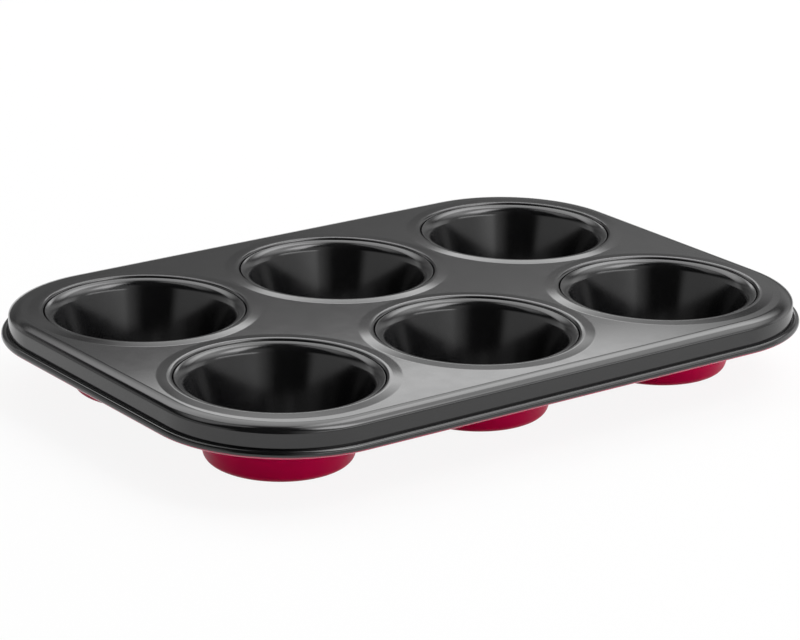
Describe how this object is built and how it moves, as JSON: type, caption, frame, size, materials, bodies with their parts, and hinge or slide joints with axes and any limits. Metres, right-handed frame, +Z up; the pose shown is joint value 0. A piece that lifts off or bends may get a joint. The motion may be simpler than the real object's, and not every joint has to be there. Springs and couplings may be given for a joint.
{
  "type": "muffin pan",
  "caption": "Rectangular muffin pan with round tapered cups hooked into a pressed plate whose rolled rim holds a wire; dark non-stick inside, crimson underneath.",
  "frame": {"origin": "on the table under the middle of the pan, at the level of the cups' flat bottoms", "axes": "+X along the long side (the longer row of cups), +Y across it, +Z up out of the cups"},
  "size_m": [0.2614, 0.184, 0.029],
  "materials": {
    "plate_coat": "dark satin non-stick coat on the upper side, crimson satin coat on the underside",
    "cup_coat": "dark satin non-stick coat inside, crimson satin coat outside",
    "wire": "bare drawn steel wire, hidden in the rolled rim"
  },
  "bodies": {
    "root": {"plate": "plate_coat", "cup_front_left": "cup_coat", "cup_front_middle": "cup_coat", "cup_front_right": "cup_coat", "cup_back_left": "cup_coat", "cup_back_middle": "cup_coat", "cup_back_right": "cup_coat", "rim_wire": "wire"}
  },
  "joints": []
}
